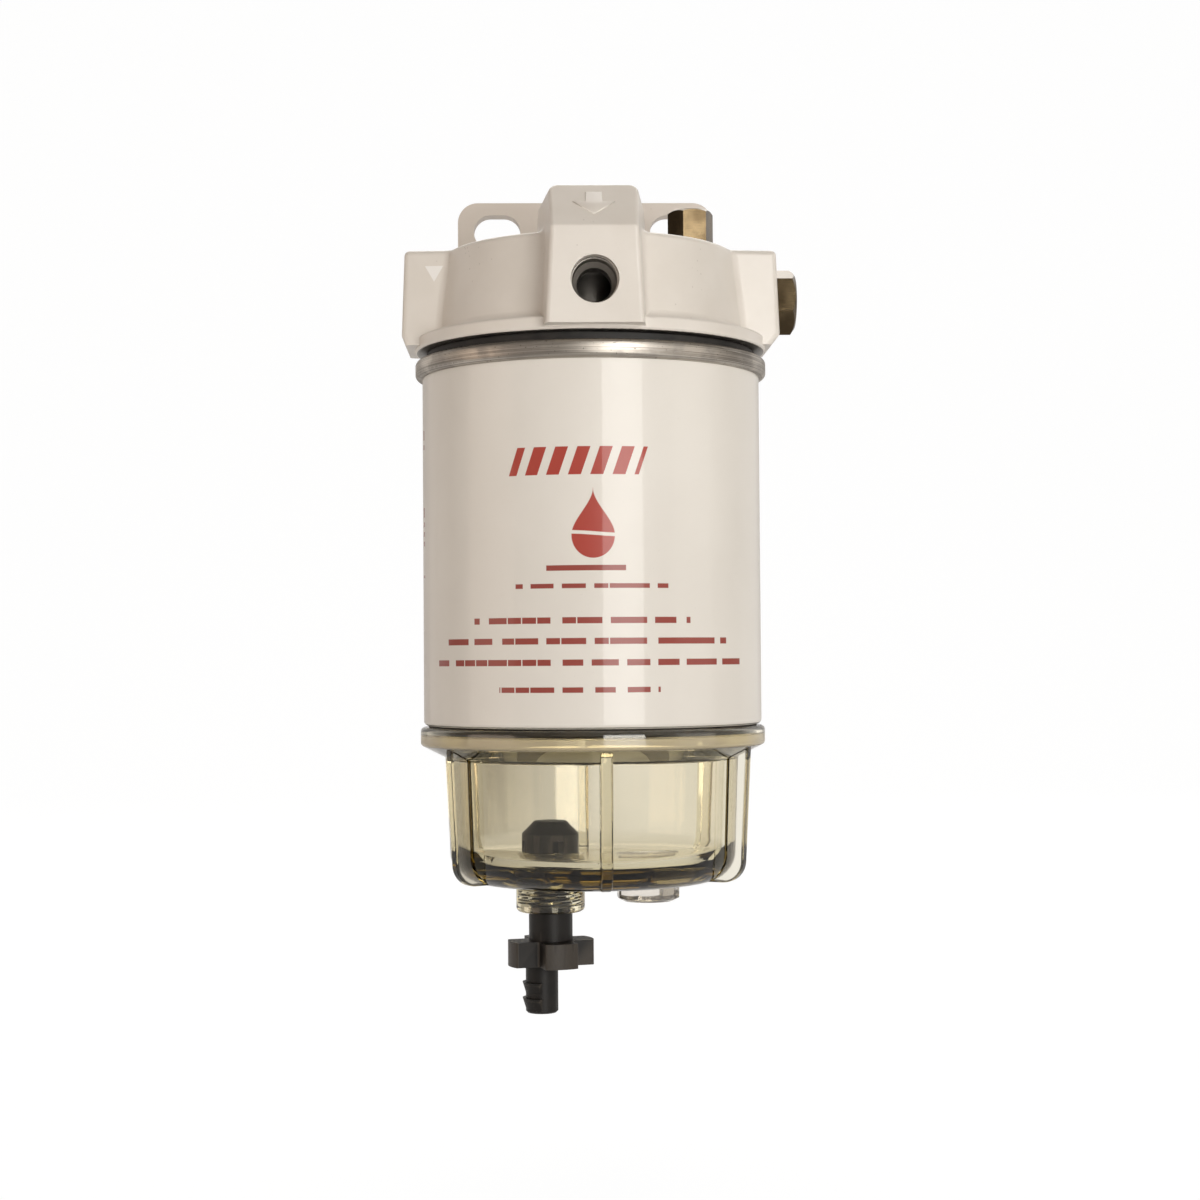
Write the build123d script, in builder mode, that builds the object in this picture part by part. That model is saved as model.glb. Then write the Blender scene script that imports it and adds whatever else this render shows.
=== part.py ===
"""Spin-on fuel filter and water separator, as an assembly of its own pieces.

A cast head with a wall bracket carries a spin-on can. The can carries a clear
water bowl, and the bowl carries a hand drain valve. Millimetres, +Z up. The
origin is on the wall face of the bracket, midway between its two slots, and the
front of the filter looks along -Y.
"""

from build123d import *
import os
from math import cos, pi, radians, sin, tan

# Wall bracket, cast in one with the head
slot_spacing = 53.0
slot_length = 14.0
slot_width = 10.0
bracket_width = 76.5
bracket_thickness = 6.0
bracket_above_slots = 8.7
bracket_below_slots = 37.0
bracket_corner = 6.0
wall_to_axis = 54.0
slots_to_head_top = 17.0
web_thickness = 6.0
web_width = 56.0
web_overlap = 12.0
gusset_spacing = 44.0
gusset_thickness = 5.0
gusset_overlap = 6.0
gusset_end_gap = 4.0

# Head casting
head_height = 27.0
head_top_radius = 40.4
head_wall_spread = 2.8
head_wall_thickness = 3.6
head_top_round = 1.5
rim_reach = 5.2
rim_height = 4.2
rim_cove = 2.5
rim_fall = 0.6
rim_edge_round = 0.8
chamber_roof = 6.0
chamber_round = 2.0
chamber_draft = 0.8
column_radius = 17.0
column_below_face = 4.0
column_core_radius = 9.5
column_roof = 7.0
passage_wall = 3.4

# Port bosses on the head
side_boss_stand = 8.4
boss_width = 25.6
boss_root_width = 28.5
boss_side_draft = 2.1
boss_face_draft = 2.0
boss_above_face = 1.0
boss_edge_round = 1.6
boss_root_round = 2.5
left_boss_bevel = (1.1, 2.9)
right_boss_bevel = (2.5, 3.0)
front_boss_stand = 9.0
front_boss_width = 25.0
front_boss_root_width = 32.4
front_boss_side_draft = 3.1
front_boss_rise = 11.6
front_boss_slope = 11.0
front_boss_crease = 1.0
front_boss_top_length = 24.0
front_boss_edge_round = 1.1
front_boss_top_round = 2.6
front_port_depth = 14.8
side_port_depth = 12.5
port_thread_radius = 6.2
port_thread_depth = 9.8
port_cone_length = 1.0
port_mouth_bevel = 0.3
port_spot_radius = 9.8
port_spot_depth = 0.9
port_bore_radius = 4.55

# Brass plugs
side_hex = 16.0
side_hex_height = 6.1
side_plug_length = 9.0
side_hex_turn = 23.4
shank_tip_bevel = 1.2
vent_hex = 11.4
vent_hex_height = 10.6
vent_plug_length = 7.0
vent_hex_turn = 8.4
vent_thread_radius = 4.4
vent_boss_radius = 8.4
vent_boss_rise = 5.5
vent_right = 29.2
vent_back = 15.0

# Centre nipple and its threads
nipple_radius = 12.65
nipple_bore_radius = 9.2
nipple_length = 27.6
nipple_seat_depth = 11.4
nipple_bevel = 1.0
mouth_bevel = 0.6
thread_clearance = 0.06

# Can, with its seamed lid
can_radius = 46.5
can_sheet = 0.8
can_bottom_lip = 5.2
can_foot_round = 1.3
can_fit_gap = 0.2
bead_radius = 48.4
bead_height = 4.9
bead_round = 1.3
seam_gap = 2.3
lid_sheet = 0.8
sheet_bend = 0.4
lid_floor_rise = 1.0
lid_lip_rise = 3.5
lid_lip_width = 3.0
lid_lip_round = 0.8
lid_land_radius = 39.0
gasket_width = 5.4
gasket_side_gap = 0.35
rubber_round = 0.5
plate_thickness = 4.5
plate_bevel = 1.0
plate_hub_radius = 17.0
plate_hub_depth = 5.5
plate_hole_radius = 4.5
plate_hole_circle = 27.0
plate_hole_count = 8
thread_ring_height = 12.0
thread_ring_round = 0.6

# Filter element
element_radius = 36.0
element_length = 62.5
cap_sheet = 0.8
cap_skirt = 4.0
cap_round = 1.0
cap_eye_inset = 4.0
pleat_count = 48
pleat_wall = 0.45
media_outer_gap = 0.3
media_inner_gap = 1.0
centre_tube_radius = 15.4
centre_tube_sheet = 0.7
tube_hole_radius = 2.4
tube_hole_rows = 6
tube_holes_round = 6
grommet_height = 5.2
grommet_gap = 0.3
spring_height = 4.5
spring_sheet = 0.9
spring_ring_width = 7.0
spring_leg_width = 9.0
spring_leg_count = 4
spring_ring_inset = 7.0
spring_bend = 1.5
spring_slant = 0.3
spring_knee_inset = 0.6
spring_foot_inset = 1.5

# Water bowl
collar_gap = 0.4
groove_depth = 1.8
groove_radius = 45.3
bowl_gasket_gap = 0.3
neck_radius = 40.2
neck_height = 12.0
neck_wall = 2.6
neck_top_round = 0.6
collar_radius = 47.4
collar_height = 4.9
collar_round = 1.2
shoulder_height = 3.5
shoulder_foot_round = 1.0
bowl_wall = 2.8
bowl_wall_radius = 40.4
bowl_foot_radius = 39.2
bowl_depth = 42.3
bowl_floor = 6.0
bowl_outer_round = 8.0
bowl_inner_round = 5.0
rib_count = 6
rib_thickness = 3.1
rib_top_radius = 46.4
rib_foot_radius = 44.4
rib_foot_round = 6.0
rib_foot_rise = 0.6
rib_top_gap = 0.4
rib_bite = 2.0
rib_edge_round = 0.7
bowl_clocking = 3.0

# Drain and probe ports in the bowl's floor
drain_offset = 12.0
drain_boss_radius = 9.45
drain_boss_length = 8.6
drain_boss_bevel = 1.4
drain_seat_radius = 7.8
drain_seat_height = 10.2
drain_seat_bevel = 3.4
drain_seat_slot = 3.0
drain_seat_round = 0.5
drain_hole_radius = 4.2
drain_slot_height = 5.0
strainer_tube_wall = 1.0
strainer_tube_depth = 2.0
valve_seat_depth = 1.5
probe_offset = 15.0
probe_plug_radius = 8.95
probe_shank_radius = 6.0
probe_collar_height = 1.6
probe_head_height = 4.5
probe_head_bevel = 2.2
probe_collar_round = 0.3
probe_ring_section = 1.6
probe_ring_gap = 0.05
probe_recess_depth = 1.3
probe_turn = 25.0

# Drain valve, one moulding
stem_radius = 6.0
stem_thread_radius = 5.35
stem_below_boss = 7.8
knob_height = 6.8
knob_tip_radius = 11.8
knob_arm_width = 9.2
knob_clocking = 16.0
knob_corner_round = 0.6
barb_radius = 4.45
barb_length = 13.0
barb_offset = 2.5
barb_hook = 0.9
barb_bore_radius = 2.4
barb_bore_roof = 2.0
barb_tip_bevel = 0.5
hook_height = 3.6
hook_spacing = 4.3
hook_sink = 0.2
valve_ring_section = 1.8
valve_ring_gap = 0.3
valve_pin_radius = 2.6
valve_pin_rise = 0.4
valve_neck_radius = 4.6
valve_neck_length = 3.5
valve_neck_step = 0.5
valve_bore_radius = 1.7
valve_bore_start = 3.0
cross_hole_radius = 1.3
cross_hole_drop = 2.2

# How far one shape sinks into the next so that the two join, or a cutter stands out
bite = 1.0

# Radii of the head, from its top out to the rim and the faces of the bosses
head_wall_radius = head_top_radius + head_wall_spread
chamber_radius = head_top_radius - head_wall_thickness
rim_radius = head_wall_radius + rim_reach
boss_reach = head_wall_radius + side_boss_stand
front_boss_reach = head_wall_radius + front_boss_stand

# Levels, from the slots down
axis_y = -wall_to_axis
head_top_z = -slots_to_head_top
face_z = head_top_z - head_height
roof_z = head_top_z - chamber_roof
front_port_z = head_top_z - front_port_depth
side_port_z = head_top_z - side_port_depth
boss_foot_level = face_z + boss_above_face
column_foot_z = face_z - column_below_face
bead_top_z = face_z - seam_gap
can_top_z = bead_top_z - bead_height
lid_floor_z = can_top_z + lid_floor_rise
plate_top_z = lid_floor_z - lid_sheet
plate_foot_z = plate_top_z - plate_thickness
hub_foot_z = plate_foot_z - plate_hub_depth
grommet_top_z = hub_foot_z - grommet_gap
element_top_z = grommet_top_z - grommet_height
element_foot_z = element_top_z - element_length
thread_ring_top_z = element_foot_z - spring_height
can_foot_z = thread_ring_top_z - thread_ring_height - can_sheet
nipple_top_z = column_foot_z + nipple_seat_depth
nipple_foot_z = nipple_top_z - nipple_length
collar_top_z = can_foot_z - collar_gap
groove_floor_z = collar_top_z - groove_depth
collar_foot_z = collar_top_z - collar_height
shoulder_foot_z = collar_foot_z - shoulder_height
bowl_foot_z = collar_top_z - bowl_depth
floor_z = bowl_foot_z + bowl_floor
boss_foot_z = bowl_foot_z - drain_boss_length
knob_top_z = boss_foot_z - stem_below_boss
knob_foot_z = knob_top_z - knob_height
barb_foot_z = knob_foot_z - barb_length
valve_seat_z = bowl_foot_z + valve_seat_depth
probe_recess_z = bowl_foot_z + probe_recess_depth
probe_foot_z = bowl_foot_z - probe_collar_height - probe_head_height

can_axis = Axis((0, axis_y, 0), (0, 0, 1))
side_view = Plane(origin=(0, axis_y, 0), x_dir=(1, 0, 0), z_dir=(0, -1, 0))
front = (0, -1, 0)
left = (-1, 0, 0)
right = (1, 0, 0)
clocked = (cos(radians(bowl_clocking)), sin(radians(bowl_clocking)), 0)
drain_centre = (-drain_offset * clocked[0], axis_y - drain_offset * clocked[1])
probe_centre = (probe_offset * clocked[0], axis_y + probe_offset * clocked[1])
drain_axis = Axis((*drain_centre, 0), (0, 0, 1))
drain_view = Plane(origin=(*drain_centre, 0), x_dir=(1, 0, 0), z_dir=(0, -1, 0))
probe_axis = Axis((*probe_centre, 0), (0, 0, 1))
probe_view = Plane(origin=(*probe_centre, 0), x_dir=(1, 0, 0), z_dir=(0, -1, 0))


def outline(plane, *corners):
    """Close a flat outline on a plane. A corner's third value is the radius of its round."""
    points = [corner[:2] for corner in corners]
    rounds = [corner[2] if len(corner) > 2 else 0 for corner in corners]
    with BuildSketch(plane) as shape:
        with BuildLine():
            FilletPolyline(*points, radius=rounds, close=True)
        make_face()
    return shape.sketch


def ring(plane, inner, outer, foot, top, rounding=0):
    """The section of a plain ring, from one radius to another and one height to another."""
    return outline(
        plane,
        (inner, foot, rounding),
        (outer, foot, rounding),
        (outer, top, rounding),
        (inner, top, rounding),
    )


def along(direction, height):
    """A plane through the can's axis with its x axis in a level direction and its y axis up."""
    sideways = Vector(direction).cross(Vector(0, 0, 1))
    return Plane(origin=(0, axis_y, height), x_dir=direction, z_dir=sideways)


def boss(direction, reach, root, rise, widths, side_draft):
    """A drafted port boss that points away from the can's axis, with sharp edges."""
    front_width, root_width = widths
    lean = (front_width - root_width) / 2 / (reach - root)
    with BuildPart() as block:
        for level in (boss_foot_level, head_top_z + rise):
            side_draw = (level - boss_foot_level) * tan(radians(side_draft))
            face_draw = (level - boss_foot_level) * tan(radians(boss_face_draft))
            with BuildSketch(Plane(origin=(0, axis_y, level), x_dir=direction)):
                with BuildLine():
                    half_front = front_width / 2 - side_draw - lean * face_draw
                    half_root = root_width / 2 - side_draw
                    Polyline(
                        (root, -half_root),
                        (reach - face_draw, -half_front),
                        (reach - face_draw, half_front),
                        (root, half_root),
                        close=True,
                    )
                make_face()
        loft(ruled=True)
    return block.part


def wall_roots(casting):
    """The tall edges where a boss leaves the round wall of the head."""
    roots = []
    for edge in casting.edges():
        middle = edge.center()
        off_axis = (middle.X**2 + (middle.Y - axis_y) ** 2) ** 0.5
        on_wall = head_top_radius < off_axis < wall_foot_radius + bite
        if on_wall and edge.bounding_box().size.Z > head_height / 2:
            roots.append(edge)
    return roots


def side_boss(direction, bevel):
    """A side port boss, bevelled below and rounded. Its top edge is rounded once it is on the head."""
    widths = (boss_width, boss_root_width)
    inward, upward = bevel
    with BuildPart() as block:
        add(boss(direction, boss_reach, side_boss_root, 0, widths, boss_side_draft))
        wedge = outline(
            along(direction, boss_foot_level),
            (boss_reach - 2 * inward, -upward),
            (boss_reach + inward, -upward),
            (boss_reach + inward, 2 * upward),
        )
        extrude(wedge, amount=boss_root_width, both=True, mode=Mode.SUBTRACT)
        root_face = block.faces().sort_by(Axis((0, axis_y, 0), direction))[0]
        levels = block.faces().sort_by(Axis.Z)
        sharp = root_face.edges() + levels[0].edges() + levels[-1].edges()
        fillet([edge for edge in block.edges() if edge not in sharp], boss_edge_round)
    return block.part


def port(direction, reach, height, bore_end, spot_depth=0):
    """The space inside a port: spot face, bevelled mouth, threaded length and the bore behind."""
    mouth = reach - spot_depth
    thread_end = mouth - port_thread_depth
    port_axis = Axis((0, axis_y, height), direction)
    with BuildPart() as space:
        flat = outline(
            along(direction, height),
            (bore_end, 0),
            (reach + bite, 0),
            (reach + bite, port_thread_radius + port_mouth_bevel),
            (mouth, port_thread_radius + port_mouth_bevel),
            (mouth - port_mouth_bevel, port_thread_radius),
            (thread_end, port_thread_radius),
            (thread_end - port_cone_length, port_bore_radius),
            (bore_end, port_bore_radius),
        )
        revolve(flat, axis=port_axis)
        if spot_depth:
            facing = ring(along(direction, height), mouth, reach + bite, 0, port_spot_radius)
            revolve(facing, axis=port_axis)
    return space.part


def hex_plug(plane, across_flats, head_height, turn, shank_radius, shank_length):
    """A plug that stands on a plane: a bevelled hexagon above it and a tapered shank below."""
    corner_radius = across_flats / 2 / cos(pi / 6)
    bevel = corner_radius - across_flats / 2
    axis = Axis(plane.origin, plane.z_dir)
    upright = Plane(origin=plane.origin, x_dir=plane.x_dir, z_dir=plane.y_dir)
    with BuildPart() as plug:
        with BuildSketch(plane):
            RegularPolygon(across_flats / 2, 6, major_radius=False, rotation=turn)
        extrude(amount=head_height)
        crown = outline(
            upright,
            (0, 0),
            (corner_radius, 0),
            (corner_radius, -head_height + bevel),
            (across_flats / 2 - bevel / 2, -head_height),
            (0, -head_height),
        )
        revolve(crown, axis=axis, mode=Mode.INTERSECT)
        shank = outline(
            upright,
            (0, 0),
            (shank_radius - thread_clearance, 0),
            (shank_radius - thread_clearance, shank_length - shank_tip_bevel),
            (shank_radius - shank_tip_bevel, shank_length),
            (0, shank_length),
        )
        revolve(shank, axis=axis)
    return plug.part


def ring_of_places(count, start=0.0):
    """Places around the can's axis, evenly turned, for pieces drawn about the origin."""
    step = 360 / count
    return [Location((0, axis_y, 0), (0, 0, start + step * turn)) for turn in range(count)]


os.makedirs("parts", exist_ok=True)

# Head: one casting with its bracket, its three port bosses and its fuel passages
side_boss_root = chamber_radius - 4 * bite
front_boss_root = front_boss_reach - front_boss_slope - front_boss_top_length
wall_lean = (head_wall_radius - head_top_radius) / (head_height - rim_height)
wall_foot_radius = head_wall_radius + wall_lean * (rim_height - boss_above_face)

with BuildPart() as front_boss:
    widths = (front_boss_width, front_boss_root_width)
    add(boss(front, front_boss_reach, front_boss_root, front_boss_rise, widths, front_boss_side_draft))
    # Top that slopes down to a crease just under the head's top
    crease_z = head_top_z - front_boss_crease
    crease_reach = front_boss_reach - (crease_z - boss_foot_level) * tan(radians(boss_face_draft))
    steepness = (front_boss_rise + front_boss_crease) / front_boss_slope
    slope = outline(
        along(front, 0),
        (crease_reach + bite, crease_z - bite * steepness),
        (crease_reach - front_boss_slope - bite, head_top_z + front_boss_rise + bite * steepness),
        (crease_reach + bite, head_top_z + front_boss_rise + bite * steepness),
    )
    extrude(slope, amount=front_boss_root_width, both=True, mode=Mode.SUBTRACT)
    long_edges = front_boss.faces().sort_by(Axis.Z)[-1].edges().sort_by(Axis.X)
    fillet((long_edges[0], long_edges[-1]), front_boss_top_round)
    front_faces = front_boss.faces().sort_by(Axis.Y)[:2]
    foot_edges = front_boss.faces().sort_by(Axis.Z)[0].edges()
    front_edges = front_faces[0].edges() + front_faces[1].edges()
    fillet([edge for edge in front_edges if edge not in foot_edges], front_boss_edge_round)

with BuildPart() as filter_head:
    barrel = outline(
        side_view,
        (0, head_top_z),
        (head_top_radius, head_top_z),
        (wall_foot_radius, boss_foot_level),
        (0, boss_foot_level),
    )
    revolve(barrel, axis=can_axis)
    add(side_boss(left, left_boss_bevel))
    add(side_boss(right, right_boss_bevel))
    # Soft roots where a boss leaves the wall, and a round that runs along the whole top
    fillet(wall_roots(filter_head), boss_root_round)
    fillet(filter_head.faces().sort_by(Axis.Z)[-1].edges(), head_top_round)
    add(front_boss.part)
    roots = wall_roots(filter_head)
    fillet([edge for edge in roots if abs(edge.center().X) < front_boss_root_width / 2], boss_root_round)
    rim = outline(
        side_view,
        (0, head_top_z - 2 * head_top_round),
        (head_top_radius + 2 * head_top_round * wall_lean, head_top_z - 2 * head_top_round),
        (head_wall_radius, face_z + rim_height, rim_cove),
        (rim_radius, face_z + rim_height - rim_fall, rim_edge_round),
        (rim_radius, face_z, rim_edge_round),
        (0, face_z),
    )
    revolve(rim, axis=can_axis)
    # Bracket plate, with the web and the two gussets that join it to the round wall
    plate_height = bracket_above_slots + bracket_below_slots
    plate_middle = (bracket_above_slots - bracket_below_slots) / 2
    with BuildSketch(Plane.XZ):
        with Locations((0, plate_middle)):
            RectangleRounded(bracket_width, plate_height, bracket_corner)
        with GridLocations(slot_spacing, 1, 2, 1):
            SlotOverall(slot_length, slot_width, mode=Mode.SUBTRACT)
    extrude(amount=bracket_thickness)
    with BuildSketch(Plane.XY.offset(head_top_z)):
        with BuildLine():
            web_root = axis_y + head_top_radius - web_overlap
            Polyline(
                (-web_width / 2, -bracket_thickness),
                (web_width / 2, -bracket_thickness),
                (web_width / 2, web_root),
                (-web_width / 2, web_root),
                close=True,
            )
        make_face()
    extrude(amount=-web_thickness)
    with BuildSketch(Plane.XY.offset(head_top_z)):
        with GridLocations(gusset_spacing, 1, 2, 1):
            gusset_length = wall_to_axis - chamber_radius + gusset_overlap
            with Locations((0, -bracket_thickness - gusset_length / 2 + bite)):
                Rectangle(gusset_thickness, gusset_length)
    extrude(amount=-(bracket_below_slots - slots_to_head_top - gusset_end_gap))
    # Raised boss for the vent plug
    vent_centre = (vent_right, axis_y + vent_back)
    with BuildSketch(Plane.XY.offset(head_top_z + vent_boss_rise)):
        with Locations(vent_centre):
            Circle(vent_boss_radius)
    extrude(amount=-(vent_boss_rise + head_height - rim_height))
    # Inlet chamber, open below, around the column that takes the nipple
    chamber = outline(
        side_view,
        (column_radius, face_z - column_below_face),
        (column_radius + chamber_draft, roof_z, chamber_round),
        (chamber_radius - chamber_draft, roof_z, chamber_round),
        (chamber_radius, face_z),
        (chamber_radius, face_z - column_below_face),
    )
    with BuildSketch(Plane.XY.offset(face_z - column_below_face)):
        with Locations((0, axis_y)):
            Circle(column_radius)
    extrude(amount=column_below_face + bite)
    revolve(chamber, axis=can_axis, mode=Mode.SUBTRACT)
    # Walled passage that carries clean fuel across the chamber to the left port
    passage_radius = port_bore_radius + passage_wall
    with BuildSketch(Plane(origin=(-column_radius + bite, axis_y, side_port_z), x_dir=(0, 1, 0), z_dir=left)):
        Circle(passage_radius)
        with Locations((0, (roof_z - side_port_z + bite) / 2)):
            Rectangle(2 * passage_radius, roof_z - side_port_z + bite)
    extrude(amount=chamber_radius - column_radius)
    # Ports, nipple thread, clean fuel core and vent hole
    inlet_end = chamber_radius - 2 * bite
    add(port(front, front_boss_reach, front_port_z, inlet_end), mode=Mode.SUBTRACT)
    add(port(right, boss_reach, side_port_z, inlet_end, port_spot_depth), mode=Mode.SUBTRACT)
    add(port(left, boss_reach, side_port_z, 0, port_spot_depth), mode=Mode.SUBTRACT)
    core = outline(
        side_view,
        (0, column_foot_z),
        (nipple_radius + mouth_bevel, column_foot_z),
        (nipple_radius + thread_clearance, column_foot_z + mouth_bevel),
        (nipple_radius + thread_clearance, nipple_top_z + thread_clearance),
        (column_core_radius, nipple_top_z + thread_clearance),
        (column_core_radius, head_top_z - column_roof, chamber_round),
        (0, head_top_z - column_roof),
    )
    revolve(core, axis=can_axis, mode=Mode.SUBTRACT)
    with BuildSketch(Plane.XY.offset(head_top_z + vent_boss_rise)):
        with Locations(vent_centre):
            Circle(vent_thread_radius)
    extrude(amount=-(vent_boss_rise + chamber_roof + bite), mode=Mode.SUBTRACT)
filter_head.part.label = "filter_head"
export_step(filter_head.part, "parts/filter_head.step")

# Threaded nipple, screwed up into the head's column
with BuildPart() as centre_nipple:
    tube = outline(
        side_view,
        (nipple_bore_radius, nipple_foot_z),
        (nipple_radius - nipple_bevel, nipple_foot_z),
        (nipple_radius, nipple_foot_z + nipple_bevel),
        (nipple_radius, nipple_top_z - nipple_bevel),
        (nipple_radius - nipple_bevel, nipple_top_z),
        (nipple_bore_radius, nipple_top_z),
    )
    revolve(tube, axis=can_axis)
centre_nipple.part.label = "centre_nipple"
export_step(centre_nipple.part, "parts/centre_nipple.step")

# Brass plugs: one closes the spare inlet at the side, one closes the vent on top
side_face = Plane(origin=(boss_reach - port_spot_depth, axis_y, side_port_z), x_dir=(0, 1, 0), z_dir=right)
with BuildPart() as side_port_plug:
    add(hex_plug(side_face, side_hex, side_hex_height, side_hex_turn, port_thread_radius, side_plug_length))
side_port_plug.part.label = "side_port_plug"
export_step(side_port_plug.part, "parts/side_port_plug.step")

vent_face = Plane(origin=(*vent_centre, head_top_z + vent_boss_rise))
with BuildPart() as top_vent_plug:
    add(hex_plug(vent_face, vent_hex, vent_hex_height, vent_hex_turn, vent_thread_radius, vent_plug_length))
top_vent_plug.part.label = "top_vent_plug"
export_step(top_vent_plug.part, "parts/top_vent_plug.step")

# Lid of the can: rolled bead, gasket channel and the lip that holds the gasket from inside
can_bore = can_radius - can_sheet
with BuildPart() as seam_lid:
    sheet = outline(
        side_view,
        (can_bore, lid_floor_z, sheet_bend),
        (can_bore, bead_top_z, bead_round),
        (bead_radius, bead_top_z, bead_round),
        (bead_radius, can_top_z, bead_round),
        (can_bore, can_top_z),
        (can_bore - can_fit_gap, lid_floor_z - lid_sheet),
        (lid_land_radius - lid_sheet, lid_floor_z - lid_sheet, sheet_bend),
        (lid_land_radius - lid_sheet, lid_floor_z + lid_lip_rise - lid_sheet, sheet_bend),
        (lid_land_radius - lid_lip_width, lid_floor_z + lid_lip_rise - lid_sheet),
        (lid_land_radius - lid_lip_width, lid_floor_z + lid_lip_rise),
        (lid_land_radius, lid_floor_z + lid_lip_rise, lid_lip_round),
        (lid_land_radius, lid_floor_z, sheet_bend),
    )
    revolve(sheet, axis=can_axis)
seam_lid.part.label = "seam_lid"
export_step(seam_lid.part, "parts/seam_lid.step")

# Rubber gasket between the lid and the head
gasket_outer = can_bore - gasket_side_gap
with BuildPart() as head_gasket:
    band = ring(side_view, gasket_outer - gasket_width, gasket_outer, lid_floor_z, face_z, rubber_round)
    revolve(band, axis=can_axis)
head_gasket.part.label = "head_gasket"
export_step(head_gasket.part, "parts/head_gasket.step")

# Thick threaded plate under the lid, with a ring of inlet holes
with BuildPart() as thread_plate:
    disc = outline(
        side_view,
        (nipple_radius + thread_clearance, hub_foot_z),
        (plate_hub_radius - plate_bevel, hub_foot_z),
        (plate_hub_radius, hub_foot_z + plate_bevel),
        (plate_hub_radius, plate_foot_z, plate_bevel),
        (can_bore - can_fit_gap, plate_foot_z, plate_bevel),
        (can_bore - can_fit_gap, plate_top_z),
        (nipple_radius + thread_clearance, plate_top_z),
    )
    revolve(disc, axis=can_axis)
    with BuildSketch(Plane(origin=(0, axis_y, plate_top_z))):
        with PolarLocations(plate_hole_circle, plate_hole_count):
            Circle(plate_hole_radius)
    extrude(amount=-plate_thickness, mode=Mode.SUBTRACT)
thread_plate.part.label = "thread_plate"
export_step(thread_plate.part, "parts/thread_plate.step")

# Drawn steel can, open above, with its foot rolled in under the bowl's thread ring
with BuildPart() as can_shell:
    wall = outline(
        side_view,
        (can_bore, can_top_z),
        (can_radius, can_top_z),
        (can_radius, can_foot_z, can_foot_round),
        (can_radius - can_bottom_lip, can_foot_z),
        (can_radius - can_bottom_lip, can_foot_z + can_sheet),
        (can_bore, can_foot_z + can_sheet, sheet_bend),
    )
    revolve(wall, axis=can_axis)
can_shell.part.label = "can_shell"
export_step(can_shell.part, "parts/can_shell.step")

# Threaded ring inside the can's foot, which takes the neck of the bowl
with BuildPart() as bowl_thread_ring:
    band = ring(
        side_view,
        neck_radius + thread_clearance,
        can_bore - can_fit_gap,
        can_foot_z + can_sheet,
        thread_ring_top_z,
        thread_ring_round,
    )
    revolve(band, axis=can_axis)
bowl_thread_ring.part.label = "bowl_thread_ring"
export_step(bowl_thread_ring.part, "parts/bowl_thread_ring.step")

# Rubber grommet that seals the element to the nipple
with BuildPart() as nipple_grommet:
    band = ring(
        side_view,
        nipple_radius + thread_clearance,
        plate_hub_radius,
        element_top_z,
        grommet_top_z,
        rubber_round,
    )
    revolve(band, axis=can_axis)
nipple_grommet.part.label = "nipple_grommet"
export_step(nipple_grommet.part, "parts/nipple_grommet.step")

# Two end caps of pressed sheet, each with a skirt round the paper
with BuildPart() as top_end_cap:
    dish = outline(
        side_view,
        (centre_tube_radius - cap_eye_inset, element_top_z),
        (element_radius, element_top_z, cap_round),
        (element_radius, element_top_z - cap_skirt),
        (element_radius - cap_sheet, element_top_z - cap_skirt),
        (element_radius - cap_sheet, element_top_z - cap_sheet, cap_round - cap_sheet),
        (centre_tube_radius - cap_eye_inset, element_top_z - cap_sheet),
    )
    revolve(dish, axis=can_axis)
top_end_cap.part.label = "top_end_cap"
export_step(top_end_cap.part, "parts/top_end_cap.step")

with BuildPart() as bottom_end_cap:
    dish = outline(
        side_view,
        (0, element_foot_z),
        (element_radius, element_foot_z, cap_round),
        (element_radius, element_foot_z + cap_skirt),
        (element_radius - cap_sheet, element_foot_z + cap_skirt),
        (element_radius - cap_sheet, element_foot_z + cap_sheet, cap_round - cap_sheet),
        (0, element_foot_z + cap_sheet),
    )
    revolve(dish, axis=can_axis)
bottom_end_cap.part.label = "bottom_end_cap"
export_step(bottom_end_cap.part, "parts/bottom_end_cap.step")

# Pleated paper: a closed zigzag wall between two star outlines
media_radius = element_radius - cap_sheet - media_outer_gap
pleat_depth = media_radius - centre_tube_radius - media_inner_gap
half_pitch = pi * media_radius / pleat_count
crest = pleat_wall * (half_pitch**2 + pleat_depth**2) ** 0.5 / half_pitch


def star(outer, inner):
    """Corners of a star about the origin, with one crest and one valley for each pleat."""
    turns = [pi * step / pleat_count for step in range(2 * pleat_count)]
    reaches = (outer, inner)
    return [(reaches[i % 2] * cos(turn), reaches[i % 2] * sin(turn)) for i, turn in enumerate(turns)]


with BuildPart() as pleated_media:
    with BuildSketch(Plane(origin=(0, axis_y, element_foot_z + cap_sheet))):
        with BuildLine():
            Polyline(*star(media_radius, media_radius - pleat_depth + crest), close=True)
        make_face()
        with BuildLine():
            Polyline(*star(media_radius - crest, media_radius - pleat_depth), close=True)
        make_face(mode=Mode.SUBTRACT)
    extrude(amount=element_length - 2 * cap_sheet)
pleated_media.part.label = "pleated_media"
export_step(pleated_media.part, "parts/pleated_media.step")

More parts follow.
